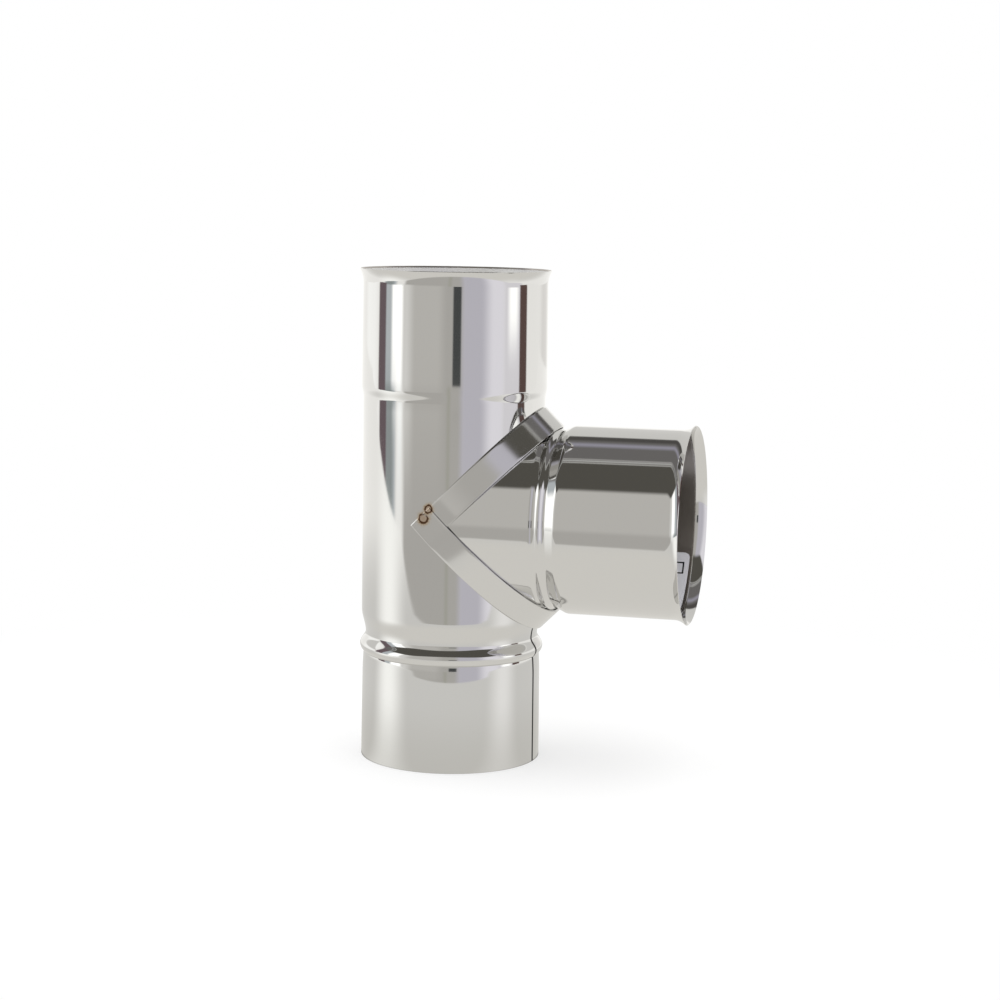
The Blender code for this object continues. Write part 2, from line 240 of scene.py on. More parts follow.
def strip_stations(turns=120, end_steps=22):
    """Path (u, y) and its outward normal: u = root2 R cos t + W/2, y = R sin t, with flat ends at y = -R and R."""
    half = STRIP_WIDTH / 2.0
    t = np.linspace(-math.pi / 2.0, math.pi / 2.0, turns + 1)
    across, down = np.cos(t), np.sin(t)
    length = np.hypot(across, ROOT2 * down)
    curve = np.stack(
        [ROOT2 * BODY_RADIUS * across + half, BODY_RADIUS * down, across / length, ROOT2 * down / length], 1)
    ends = np.linspace(-half, half, end_steps + 1)[:-1]
    front = np.stack([ends, np.full_like(ends, -BODY_RADIUS), np.zeros_like(ends), -np.ones_like(ends)], 1)
    back = front[::-1] * [1.0, -1.0, 1.0, -1.0]
    return np.concatenate([front, curve, back])


def strip_ring(inside, edge, bend=0.00035, faces=14):
    """Channel section (across, height): rounded outer corners, turned edges and a flat underside."""
    half, turned = STRIP_WIDTH / 2.0, STRIP_WIDTH / 2.0 - SHEET
    outside, tip = inside + SHEET, inside - edge
    flat = np.linspace(-half + bend, half - bend, faces)
    arc = np.linspace(0.0, math.pi / 2.0, 6)[1:-1]
    right = np.stack([half - bend + bend * np.sin(arc), outside - bend + bend * np.cos(arc)], 1)
    left = right[::-1] * [-1.0, 1.0]
    under = np.linspace(turned, -turned, faces)
    top = np.stack([flat, np.full_like(flat, outside)], 1)
    underside = np.stack([under, np.full_like(under, inside)], 1)
    right_edge = [[half, outside - bend], [half, tip], [turned, tip]]
    left_edge = [[-turned, tip], [-half, tip], [-half, outside - bend]]
    return np.concatenate([top, right, right_edge, underside, left_edge, left])


stations = strip_stations()
print("stations along a strip:", len(stations), "and points round its section:", len(strip_ring(0.0, SHEET)))

# %% [markdown]
# The section is then carried along the path. At the crossing it eases up to the height that is left for it there, its
# turned edges shorten to almost nothing, and its flat end is bent to the round of the tube.

# %% Lock strips
CROSSING_RAMP, EDGE_LEFT = 0.009, 0.00005


def strip_points(side, crossing_height):
    """Grid of a strip: each station's section, bent on to the tube's round where it passes the main axis."""
    riding, half = GAP + SHEET, STRIP_WIDTH / 2.0
    rows = []
    for u, depth, normal_u, normal_y in stations:
        ride = eased(u, half + GAP, half + CROSSING_RAMP)
        inside = crossing_height + ride * (riding - crossing_height)
        section = strip_ring(inside, EDGE_LEFT + ride * (SHEET - EDGE_LEFT))
        out = u + section[:, 1] * normal_u
        y = depth + section[:, 1] * normal_y
        x, z = (out + section[:, 0]) / ROOT2, (out - section[:, 0]) / ROOT2
        y = np.where(x < 0.0, np.sign(y) * np.sqrt(np.maximum(y * y - x * x, 0.0)), y)
        rows.append(np.stack([x, y, side * z], 1))
    return np.stack(rows) + JOINT


def capped_strip(name, side, crossing_height):
    """The strip's grid, closed round its section, with a flat cap on each end."""
    points = strip_points(side, crossing_height)
    mesh = grid_mesh(name, points, round_closed=True)
    builder = bmesh.new()
    builder.from_mesh(mesh)
    loose = [edge for edge in builder.edges if edge.is_boundary]
    bmesh.ops.holes_fill(builder, edges=loose, sides=0)
    bmesh.ops.recalc_face_normals(builder, faces=builder.faces)
    builder.to_mesh(mesh)
    builder.free()
    return finish_sheet(piece_from(name, mesh), sharp=40.0)


upper_strip = capped_strip("polished_upper_strip", 1.0, GAP)
lower_strip = capped_strip("polished_lower_strip", -1.0, 2.0 * GAP + SHEET)

# %% [markdown]
# ## The paper label
# A small label sits inside the branch mouth, low on the far side. It is a rounded rectangle bent to the inside of the
# tube: its rows run along the tube, stand one above the other round the wall, and shorten towards the corners.

# %% Label
LABEL_LOW, LABEL_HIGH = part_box("inner_label")
LABEL_MIDDLE_X = (LABEL_LOW.x + LABEL_HIGH.x) / 2.0
LABEL_THICKNESS, LABEL_CORNER, LABEL_ANGLE = 0.00015, 0.0025, math.radians(-56.0)
LABEL_RADIUS = BRANCH_RADIUS - SHEET - 0.0001
half_long, half_high = (LABEL_HIGH.x - LABEL_LOW.x) / 2.0, 0.0255
v = np.linspace(-1.0, 1.0, 61)
s = np.linspace(-1.0, 1.0, 41)
past_corner = np.maximum(np.abs(v) * half_high - (half_high - LABEL_CORNER), 0.0)
row_half = half_long - (LABEL_CORNER - np.sqrt(np.maximum(LABEL_CORNER**2 - past_corner**2, 0.0)))
angle = LABEL_ANGLE + np.arcsin(v * half_high / LABEL_RADIUS)
label_points = np.stack([
    LABEL_MIDDLE_X + row_half[:, None] * s[None, :],
    np.repeat((LABEL_RADIUS * np.cos(angle))[:, None], len(s), axis=1),
    BRANCH_Z + np.repeat((LABEL_RADIUS * np.sin(angle))[:, None], len(s), axis=1)], axis=-1)
label = finish_sheet(piece_from("paper_label", grid_mesh("label", label_points)), LABEL_THICKNESS)

# %% [markdown]
# ## Steel
# Polished stainless sheet is a metal with a low roughness. Real sheet is never dead flat, so a very weak, wide wave
# goes into the normal, and a finer one into the roughness. Both are one node group, placed in each steel with its own
# values. A few helpers come first, which add a node with its settings and links in one line.

# %% Node helpers
def put(tree, kind, links=None, **settings):
    """Add a node, set its properties, and set or link its inputs."""
    made = tree.nodes.new(kind)
    for key, value in settings.items():
        setattr(made, key, value)
    for key, value in (links or {}).items():
        if isinstance(value, bpy.types.NodeSocket):
            tree.links.new(value, made.inputs[key])
        else:
            made.inputs[key].default_value = value
    return made


def maths(tree, operation, *values):
    """A Math node; values are numbers or sockets."""
    return put(tree, "ShaderNodeMath", dict(enumerate(values)), operation=operation).outputs[0]


def soft_step(tree, value, edge, soft, rising=True):
    """Eased mask: 0 before the edge and 1 after it, or the other way round."""
    low, high = maths(tree, "SUBTRACT", edge, soft), maths(tree, "ADD", edge, soft)
    ends = {"To Min": 0.0, "To Max": 1.0} if rising else {"To Min": 1.0, "To Max": 0.0}
    return put(tree, "ShaderNodeMapRange", {"Value": value, "From Min": low, "From Max": high, **ends},
               interpolation_type="SMOOTHSTEP").outputs[0]


def new_group(name, inputs, outputs):
    """A shader node group with named sockets, each (name, kind, value)."""
    group = bpy.data.node_groups.new(name, "ShaderNodeTree")
    for socket_name, kind, value in inputs:
        socket = group.interface.new_socket(socket_name, in_out="INPUT", socket_type=kind)
        if value is not None:
            socket.default_value = value
    for socket_name, kind, _ in outputs:
        group.interface.new_socket(socket_name, in_out="OUTPUT", socket_type=kind)
    return group, group.nodes.new("NodeGroupInput"), group.nodes.new("NodeGroupOutput")


def mix(tree, kind, factor, under, over):
    """Blend of two numbers or two colours, each a value or a socket; the kind is FLOAT or RGBA."""
    return put(tree, "ShaderNodeMix", {"Factor": factor, "A": under, "B": over}, data_type=kind).outputs["Result"]


def fed_by(shader, key):
    """What feeds an input of the shader now: the socket that is linked to it, or else its own value."""
    socket = shader.inputs[key]
    return socket.links[0].from_socket if socket.links else socket.default_value


# %% Polish group
polish, into, out = new_group(
    "sheet_polish",
    [("Ripple", "NodeSocketFloat", 0.2), ("Streak", "NodeSocketFloat", 0.03),
     ("Along", "NodeSocketVector", (1.0, 1.0, 1.0)), ("Base Roughness", "NodeSocketFloat", 0.05),
     ("Smudge", "NodeSocketFloat", 0.03)],
    [("Roughness", "NodeSocketFloat", None), ("Height", "NodeSocketFloat", None)])
place = put(polish, "ShaderNodeTexCoord").outputs["Object"]
wide = put(polish, "ShaderNodeTexNoise", {"Vector": place, "Scale": 22.0, "Detail": 1.0, "Roughness": 0.4})
fine = put(polish, "ShaderNodeTexNoise", {"Vector": place, "Scale": 260.0, "Detail": 3.0, "Roughness": 0.6})
drawn = put(polish, "ShaderNodeVectorMath", {0: place, 1: into.outputs["Along"]}, operation="MULTIPLY").outputs[0]
rolled = put(polish, "ShaderNodeTexNoise", {"Vector": drawn, "Scale": 160.0, "Detail": 2.0, "Roughness": 0.5})
waves = maths(polish, "MULTIPLY", wide.outputs["Fac"], into.outputs["Ripple"])
lines = maths(polish, "MULTIPLY", rolled.outputs["Fac"], into.outputs["Streak"])
polish.links.new(maths(polish, "ADD", waves, lines), out.inputs["Height"])
smudge = maths(polish, "MULTIPLY", fine.outputs["Fac"], into.outputs["Smudge"])
polish.links.new(maths(polish, "ADD", smudge, into.outputs["Base Roughness"]), out.inputs["Roughness"])
print("group", polish.name, "with", len(polish.nodes), "nodes")


# %% Three steels
def new_material(name):
    """A material with only a Principled shader; returns the material, its tree and the shader."""
    material = bpy.data.materials.new(name)
    material.use_nodes = True
    return material, material.node_tree, material.node_tree.nodes["Principled BSDF"]


STEEL_REFLECTS = 0.70


def steel(name, ripple, streak, along, roughness, smudge):
    """Polished steel with its own ripple, its streaks drawn out along the tube, and its smudges."""
    material, tree, shader = new_material(name)
    use = put(tree, "ShaderNodeGroup", {"Ripple": ripple, "Streak": streak, "Along": along,
                                        "Base Roughness": roughness, "Smudge": smudge}, node_tree=polish)
    bump = put(tree, "ShaderNodeBump", {"Height": use.outputs["Height"], "Distance": 0.0002, "Strength": 1.0})
    shader.inputs["Base Color"].default_value = (STEEL_REFLECTS, STEEL_REFLECTS * 0.995, STEEL_REFLECTS * 0.98, 1.0)
    shader.inputs["Metallic"].default_value = 1.0
    tree.links.new(use.outputs["Roughness"], shader.inputs["Roughness"])
    tree.links.new(bump.outputs["Normal"], shader.inputs["Normal"])
    return material, tree, shader


tube_steel, tube_tree, tube_shader = steel("polished_tube_steel", 0.25, 0.025, (1.0, 1.0, 0.02), 0.035, 0.03)
collar_steel, collar_tree, collar_shader = steel(
    "polished_collar_steel", 0.25, 0.025, (0.02, 1.0, 1.0), 0.035, 0.03)
strip_steel, strip_tree, strip_shader = steel("polished_strip_steel", 0.35, 0.02, (1.0, 1.0, 1.0), 0.09, 0.05)
print("steels:", tube_steel.name, collar_steel.name, strip_steel.name)

# %% [markdown]
# The inside of a flue tube is duller than its outside: the forming tools scuff it, and it is not buffed, so it is
# rougher. Its colour is also darker there, as painted shade, since little light gets into a tube. A face is on the
# inside where its normal points back to the tube's axis. The upper socket's flared lip is satin below its edge.

# %% Duller inside, with painted shade
def find_inside(tree, along, centre, mouth, flare):
    """Masks: inside, where normal . radius < -10 mm, and lip, 0 at the foot of the flare and 1 at the mouth."""
    here = put(tree, "ShaderNodeTexCoord").outputs["Object"]
    off = put(tree, "ShaderNodeVectorMath", {0: here, 1: centre}, operation="SUBTRACT").outputs[0]
    flat_axes = (0.0, 1.0, 1.0) if along == "X" else (1.0, 1.0, 0.0)
    across = put(tree, "ShaderNodeVectorMath", {0: off, 1: flat_axes}, operation="MULTIPLY").outputs[0]
    skin = put(tree, "ShaderNodeNewGeometry").outputs["True Normal"]
    outward = put(tree, "ShaderNodeVectorMath", {0: skin, 1: across}, operation="DOT_PRODUCT").outputs["Value"]
    place_along = put(tree, "ShaderNodeSeparateXYZ", {0: here}).outputs[along]
    lip = put(tree, "ShaderNodeMapRange", {"Value": place_along, "From Min": mouth - flare, "From Max": mouth})
    return maths(tree, "LESS_THAN", outward, -0.01), lip.outputs[0]


def refinish(tree, shader, mask, roughness, colour, metallic=None):
    """Blend roughness, base colour and, where one is given, metallic towards these values by the mask."""
    blends = [("Roughness", "FLOAT", roughness), ("Base Color", "RGBA", (*colour, 1.0))]
    if metallic is not None:
        blends.append(("Metallic", "FLOAT", metallic))
    for key, kind, value in blends:
        tree.links.new(mix(tree, kind, mask, fed_by(shader, key), value), shader.inputs[key])


# The inside colour is painted shade: darker steel where little light reaches into the tubes.
INSIDE_SHADE, SATIN, SHEARED_HIGHLIGHT = (0.50, 0.47, 0.44), (0.74, 0.735, 0.725), (0.85, 0.85, 0.83)
in_branch, branch_lip = find_inside(collar_tree, "X", (0.0, 0.0, BRANCH_Z), MAIN_X + REACH, BRANCH_LIP)
deep_inside_shade = maths(collar_tree, "MULTIPLY", in_branch, soft_step(collar_tree, branch_lip, 0.10, 0.08, rising=False))
refinish(collar_tree, collar_shader, deep_inside_shade, 0.30, INSIDE_SHADE)
in_head, head_lip = find_inside(tube_tree, "Z", (MAIN_X, 0.0, 0.0), HEIGHT, HEAD_LIP)
refinish(tube_tree, tube_shader, in_head, 0.30, INSIDE_SHADE)
on_flare = soft_step(tube_tree, head_lip, 0.15, 0.15)
satin = maths(tube_tree, "MULTIPLY", on_flare, maths(tube_tree, "LESS_THAN", head_lip, 0.88))
refinish(tube_tree, tube_shader, maths(tube_tree, "MULTIPLY", in_head, satin), 0.40, SATIN, 0.45)
print("nodes in the tube's steel:", len(tube_tree.nodes), "and in the collar's:", len(collar_tree.nodes))

# %% [markdown]
# ## Seam
# The long seam of the tube shows below the branch as a thin dark line. Its groove is in the mesh, and the shader
# paints the groove's bottom near black as painted shade, where the groove's shadow falls. The mask is the distance
# round the tube from the seam.

# %% Dark seam line of painted shade
where = put(tube_tree, "ShaderNodeTexCoord").outputs["Object"]
from_axis = put(tube_tree, "ShaderNodeVectorMath", {0: where, 1: (MAIN_X, 0.0, 0.0)}, operation="SUBTRACT")
turned = put(tube_tree, "ShaderNodeVectorRotate", {"Vector": from_axis.outputs[0], "Angle": -SEAM_ANGLE},
             rotation_type="Z_AXIS")
parts = put(tube_tree, "ShaderNodeSeparateXYZ", {0: turned.outputs[0]})
off_seam = maths(tube_tree, "ABSOLUTE", parts.outputs["Y"])
line_mask = put(tube_tree, "ShaderNodeMapRange", {"Value": off_seam, "From Min": 0.00115, "From Max": 0.00085})
on_side = maths(tube_tree, "GREATER_THAN", parts.outputs["X"], 0.0)
below = maths(tube_tree, "LESS_THAN", parts.outputs["Z"], SEAM_TOP + 0.0015)
seam_shade_mask = maths(tube_tree, "MULTIPLY", maths(tube_tree, "MULTIPLY", line_mask.outputs[0], on_side), below)
# Painted shade: the groove's bottom is coloured near black where its shadow falls.
seam_shade_colour = mix(tube_tree, "RGBA", seam_shade_mask, fed_by(tube_shader, "Base Color"), (0.02, 0.018, 0.018, 1.0))
tube_tree.links.new(seam_shade_colour, tube_shader.inputs["Base Color"])
print("seam at", round(math.degrees(SEAM_ANGLE)), "degrees, up to", SEAM_TOP, "m")

# %% [markdown]
# ## Sheared end
# The lower strip's end was sheared off and not polished, so at the crossing its rim is a fine matt line; its
# near-white colour is also a painted highlight along the end. The line is straight, because the end of the one strip
# lies along the edge of the other.

# %% Sheared end with a painted highlight
strip_spot = put(strip_tree, "ShaderNodeTexCoord").outputs["Object"]
from_joint = put(strip_tree, "ShaderNodeVectorMath", {0: strip_spot, 1: tuple(JOINT)}, operation="SUBTRACT")
along_lower, along_upper = (
    put(strip_tree, "ShaderNodeVectorMath", {0: from_joint.outputs[0], 1: (1.0 / ROOT2, 0.0, slope / ROOT2)},
        operation="DOT_PRODUCT").outputs["Value"] for slope in (-1.0, 1.0))
END_RIM = 0.0004
end_rim_highlight = maths(strip_tree, "MULTIPLY", maths(strip_tree, "LESS_THAN", along_lower, END_RIM - STRIP_WIDTH / 2.0),
                maths(strip_tree, "LESS_THAN", along_upper, STRIP_WIDTH / 2.0))
# Painted highlight: the rim is a near-white matt line, as well as the sheared end's own dull finish.
refinish(strip_tree, strip_shader, end_rim_highlight, 0.5, SHEARED_HIGHLIGHT, 0.0)
print("sheared rim:", END_RIM, "m wide")

# %% [markdown]
# ## Spot welds
# Two spot welds pin the strips where they cross. Each leaves a ring of brown oxide round a paler middle. The rings are
# worked out from the distance to each weld's centre, seen from the front, so they run on from the strips to the tube.

# %% Heat rings
weld, into, out = new_group(
    "weld_ring",
    [("Centre", "NodeSocketVector", (0.0, 0.0, 0.0)), ("Radius", "NodeSocketFloat", 0.0024),
     ("Clean", "NodeSocketColor", (0.8, 0.8, 0.8, 1.0))],
    [("Color", "NodeSocketColor", None), ("Ring", "NodeSocketFloat", None)])
spot = put(weld, "ShaderNodeTexCoord").outputs["Object"]
apart = put(weld, "ShaderNodeVectorMath", {0: spot, 1: into.outputs["Centre"]}, operation="SUBTRACT")
from_front = put(weld, "ShaderNodeVectorMath", {0: apart.outputs[0], 1: (1.0, 0.0, 1.0)}, operation="MULTIPLY")
away = put(weld, "ShaderNodeVectorMath", {0: from_front.outputs[0]}, operation="LENGTH").outputs["Value"]
uneven = put(weld, "ShaderNodeTexNoise", {"Vector": spot, "Scale": 700.0, "Detail": 2.0})
wobble = maths(weld, "MULTIPLY_ADD", uneven.outputs["Fac"], 0.6, 0.70)
span = maths(weld, "DIVIDE", maths(weld, "MULTIPLY", away, wobble), into.outputs["Radius"])
tint = put(weld, "ShaderNodeValToRGB", {"Fac": maths(weld, "MULTIPLY", span, 0.5)})
ramp = tint.color_ramp
ramp.elements[0].position, ramp.elements[0].color = 0.0, (0.56, 0.44, 0.34, 1.0)
ramp.elements[1].position, ramp.elements[1].color = 1.0, (0.70, 0.68, 0.66, 1.0)
for position, colour in (
        (0.30, (0.58, 0.47, 0.37)), (0.38, (0.16, 0.08, 0.04)), (0.44, (0.05, 0.022, 0.010)),
        (0.50, (0.15, 0.075, 0.035)), (0.58, (0.60, 0.49, 0.36)), (0.78, (0.68, 0.63, 0.57))):
    ramp.elements.new(position).color = (*colour, 1.0)
near = put(weld, "ShaderNodeMapRange", {"Value": span, "From Min": 2.0, "From Max": 1.1}).outputs[0]
depth = put(weld, "ShaderNodeSeparateXYZ", {0: spot}).outputs["Y"]
strength = maths(weld, "MULTIPLY", near, maths(weld, "LESS_THAN", depth, 0.0))
tinted = mix(weld, "RGBA", strength, into.outputs["Clean"], tint.outputs["Color"])
weld.links.new(tinted, out.inputs["Color"])
weld.links.new(strength, out.inputs["Ring"])

# Each weld: to the right of the joint, above it, and the radius of its ring, in metres.
WELDS = ((-0.00285, 0.00415, 0.0027), (-0.00035, 0.00915, 0.0022))


def add_welds(tree, shader):
    """Lay both rings over the base colour that the shader has now."""
    for x, z, radius in WELDS:
        links = {"Centre": (MAIN_X + x, 0.0, BRANCH_Z + z), "Radius": radius, "Clean": fed_by(shader, "Base Color")}
        ring_here = put(tree, "ShaderNodeGroup", links, node_tree=weld)
        tree.links.new(ring_here.outputs["Color"], shader.inputs["Base Color"])


add_welds(strip_tree, strip_shader)
add_welds(tube_tree, tube_shader)
print("spot welds:", len(WELDS))

# %% [markdown]
# ## Paper
# The label is matt white paper. A black box is printed on it near the mouth, left empty. The box is a difference of
# two rectangles, measured along the tube and round it.

# %% Label paper
paper, paper_tree, paper_shader = new_material("label_paper")
at = put(paper_tree, "ShaderNodeTexCoord").outputs["Object"]
from_middle = put(
    paper_tree, "ShaderNodeVectorMath", {0: at, 1: (0.0, 0.0, BRANCH_Z)}, operation="SUBTRACT")
axes = put(paper_tree, "ShaderNodeSeparateXYZ", {0: from_middle.outputs[0]})
round_angle = maths(paper_tree, "ARCTAN2", axes.outputs["Z"], axes.outputs["Y"])
BOX_X, BOX_ANGLE, BOX_LENGTH, BOX_SPAN, BOX_LINE = MAIN_X + 0.1166, math.radians(-36.5), 0.014, 0.0075, 0.0009
off_x = maths(paper_tree, "ABSOLUTE", maths(paper_tree, "SUBTRACT", axes.outputs["X"], BOX_X))
off_round = maths(paper_tree, "ABSOLUTE", maths(
    paper_tree, "MULTIPLY", maths(paper_tree, "SUBTRACT", round_angle, BOX_ANGLE), LABEL_RADIUS))
outer, inner = (
    maths(paper_tree, "MULTIPLY", maths(paper_tree, "LESS_THAN", off_x, BOX_LENGTH / 2.0 - line),
          maths(paper_tree, "LESS_THAN", off_round, BOX_SPAN / 2.0 - line)) for line in (0.0, BOX_LINE))
box_line = maths(paper_tree, "SUBTRACT", outer, inner)
grain = put(paper_tree, "ShaderNodeTexNoise", {"Vector": at, "Scale": 900.0, "Detail": 3.0})
fibre = put(paper_tree, "ShaderNodeBump", {"Height": grain.outputs["Fac"], "Distance": 0.00003, "Strength": 0.5})
PAPER_WHITE, INK = (0.80, 0.80, 0.84, 1.0), (0.01, 0.01, 0.012, 1.0)
paper_tree.links.new(mix(paper_tree, "RGBA", box_line, PAPER_WHITE, INK), paper_shader.inputs["Base Color"])
paper_tree.links.new(fibre.outputs["Normal"], paper_shader.inputs["Normal"])
paper_shader.inputs["Roughness"].default_value = 0.55
print("printed box:", BOX_LENGTH, "by", BOX_SPAN, "m")

# %% [markdown]
# ## Materials and frame
# Each piece gets its material. Then it is tied to the frame's one body and takes the place of its CAD node.

# %% Place the materials and tie the pieces to the frame
for piece, finish, node, slot in (
        (main_tube, tube_steel, "main_tube", "polished_steel"),
        (branch_collar, collar_steel, "branch_collar", "polished_steel"),
        (upper_strip, strip_steel, "upper_lock_strip", "polished_steel"),
        (lower_strip, strip_steel, "lower_lock_strip", "polished_steel"),
        (label, paper, "inner_label", "label_paper")):
    piece.data.materials.clear()
    piece.data.materials.append(finish)
    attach(piece, "root")
    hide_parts(node)
    print(piece.name, "stands for", node)

# %% [markdown]
# ## The camera
# The camera stands in front, a little to the right and above, as in the photograph. Its place was solved from the
# outline of the tubes.

# %% Camera
FOCAL_PIXELS, PICTURE_PIXELS, SENSOR_WIDTH = 2200.0, 1000.0, 36.0
azimuth, distance, eye_height = math.radians(14.648), 1.207998, 0.306934
pitch, yaw, roll = math.radians(7.728), math.radians(-1.229), math.radians(-0.931)
heading = azimuth + yaw
forward = Vector((-math.sin(heading) * math.cos(pitch), math.cos(heading) * math.cos(pitch), -math.sin(pitch)))
level = Vector((math.cos(heading), math.sin(heading), 0.0))
down = forward.cross(level)
across = math.cos(roll) * level + math.sin(roll) * down
drop = -math.sin(roll) * level + math.cos(roll) * down
camera_data = bpy.data.cameras.new("studio_camera")
camera_data.sensor_width = SENSOR_WIDTH
camera_data.lens = FOCAL_PIXELS / PICTURE_PIXELS * SENSOR_WIDTH
camera = bpy.data.objects.new("studio_camera", camera_data)
turning = Matrix((across, -drop, -forward)).transposed().to_4x4()
spot_of_eye = Vector((MAIN_X + distance * math.sin(azimuth), -distance * math.cos(azimuth), eye_height))
camera.matrix_world = Matrix.Translation(spot_of_eye) @ turning
bpy.context.scene.collection.objects.link(camera)
bpy.context.scene.camera = camera
print("lens", round(camera_data.lens, 1), "mm")

# %% [markdown]
# ## The light tent
# A mirror shows only its surroundings, so the looks of the tee are mostly those of the tent. Its walls are panels in
# the world: grey cloths in front, bright lamps at the sides, narrow dark gaps between them, a dark roof and a pale
# back. Each panel is a soft-edged window in azimuth and elevation, counted in degrees from the camera's side.

# %% Panel group
panel, into, out = new_group(
    "tent_panel",
    [("Under", "NodeSocketColor", None), ("Cloth", "NodeSocketColor", None)] + [
        (side, "NodeSocketFloat", value) for side, value in (
            ("Azimuth", 0.0), ("Elevation", 0.0), ("Left", 0.0), ("Right", 0.0), ("Bottom", -90.0), ("Top", 90.0),
            ("Soft", 1.0), ("Soft Edge", 1.0))],
    [("Color", "NodeSocketColor", None)])
i = into.outputs
mask = soft_step(panel, i["Azimuth"], i["Left"], i["Soft"])
for angle_name, edge_name, soft_name, rising in (
        ("Azimuth", "Right", "Soft", False), ("Elevation", "Bottom", "Soft Edge", True),
        ("Elevation", "Top", "Soft Edge", False)):
    side_mask = soft_step(panel, i[angle_name], i[edge_name], i[soft_name], rising)
    mask = maths(panel, "MULTIPLY", mask, side_mask)
laid_over = mix(panel, "RGBA", mask, i["Under"], i["Cloth"])
panel.links.new(laid_over, out.inputs["Color"])
print("group", panel.name, "with", len(panel.nodes), "nodes")


def shown(red, green, blue):
    """Light that polished steel shows as this display colour, each 0 to 255 and more for a lamp."""
    share = np.array([red, green, blue]) / 255.0
    linear = np.where(share <= 0.04045, share / 12.92, ((share + 0.055) / 1.055) ** 2.4)
    return (*(linear / STEEL_REFLECTS), 1.0)


def hang(tree, name, cloth, under, azimuth, elevation, **sides):
    """Lay a panel over the colour so far; the sides are the panel group's other inputs, with _ for a space."""
    links = {"Under": under, "Cloth": shown(*cloth), "Azimuth": azimuth, "Elevation": elevation}
    links.update({side.replace("_", " "): value for side, value in sides.items()})
    return put(tree, "ShaderNodeGroup", links, node_tree=panel, name=name).outputs["Color"]


# %% The tent's walls
world = bpy.data.worlds.new("light_tent")
bpy.context.scene.world = world
world.use_nodes = True
sky = world.node_tree
sky.nodes.clear()
ray = put(sky, "ShaderNodeTexCoord").outputs["Generated"]
facing = put(sky, "ShaderNodeVectorRotate", {"Vector": ray, "Angle": -azimuth}, rotation_type="Z_AXIS")
toward = put(sky, "ShaderNodeSeparateXYZ", {0: facing.outputs[0]})
front = maths(sky, "MULTIPLY", toward.outputs["Y"], -1.0)
azimuth_ray = maths(sky, "DEGREES", maths(sky, "ARCTAN2", toward.outputs["X"], front))
elevation_ray = maths(sky, "DEGREES", maths(sky, "ARCSINE", toward.outputs["Z"]))

# Each panel: name, colour as steel shows it, left, right, bottom, top, softness sideways and up and down.
PANELS = (
    ("back_left_wall", (238, 238, 236), -142.0, -112.0, -90.0, 90.0, 8.0, 1.0),
    ("back_right_wall", (207, 205, 202), 133.0, 158.0, -90.0, 90.0, 8.0, 1.0),
    ("left_cloth", (163, 161, 157), -66.0, 12.0, -90.0, 90.0, 3.0, 1.0),
    ("left_cloth_light", (176, 174, 170), -62.0, -16.0, -6.0, 90.0, 7.0, 3.5),
    ("left_cloth_edge", (203, 202, 199), -70.0, -57.0, -6.5, 90.0, 7.0, 2.5),
    ("right_cloth", (176, 174, 182), 8.0, 60.0, -90.0, 90.0, 5.0, 1.0),
    ("right_cloth_light", (213, 211, 217), 40.0, 66.0, -90.0, 90.0, 9.0, 1.0),
    ("left_screen", (170, 175, 178), -99.0, -79.0, -90.0, 90.0, 3.0, 1.0),
    ("low_left_screen", (134, 140, 140), -97.0, -83.0, -90.0, -4.5, 3.5, 1.5),
    ("left_strip_lamp", (236, 238, 237), -76.0, -69.5, -7.5, 90.0, 2.5, 2.0),
    ("left_lamp", (268, 268, 266), -85.0, -69.0, -4.6, 90.0, 3.0, 2.2),
    ("right_screen", (204, 202, 206), 63.0, 90.0, -90.0, 90.0, 3.0, 1.0),
    ("right_lamp", (262, 262, 260), 69.0, 83.0, -2.9, 90.0, 4.0, 0.9),
    ("fold", (155, 154, 146), -9.5, -5.5, -90.0, -4.8, 2.5, 0.3),
    ("left_gap", (98, 86, 90), -109.0, -95.5, -8.2, 60.0, 1.6, 0.4),
    ("middle_gap", (66, 68, 68), -3.0, 7.0, -4.65, 4.0, 1.2, 0.2),
    ("right_gap", (84, 68, 64), 86.5, 99.0, -8.2, 60.0, 1.2, 0.4),
)
pale_cloth = put(sky, "ShaderNodeRGB")
pale_cloth.outputs[0].default_value = shown(224, 223, 220)
colour = pale_cloth.outputs[0]
for name, cloth, left, right, bottom, top, soft, soft_edge in PANELS:
    colour = hang(sky, name, cloth, colour, azimuth_ray, elevation_ray,
                  Left=left, Right=right, Bottom=bottom, Top=top, Soft=soft, Soft_Edge=soft_edge)
print("tent panels:", len(PANELS))

# %% [markdown]
# The roof runs from front to back, so its edges are level lines: its panels are counted by the angle over the head,
# 0 in front, 90 straight up and 180 behind. It hangs turned by a few degrees against the camera.

# %% The tent's roof
ROOF_TURN = math.radians(-7.1)
roof_front = maths(sky, "MULTIPLY_ADD", toward.outputs["X"], math.sin(ROOF_TURN), maths(
    sky, "MULTIPLY", front, math.cos(ROOF_TURN)))
overhead = maths(sky, "DEGREES", maths(sky, "ARCTAN2", toward.outputs["Z"], roof_front))
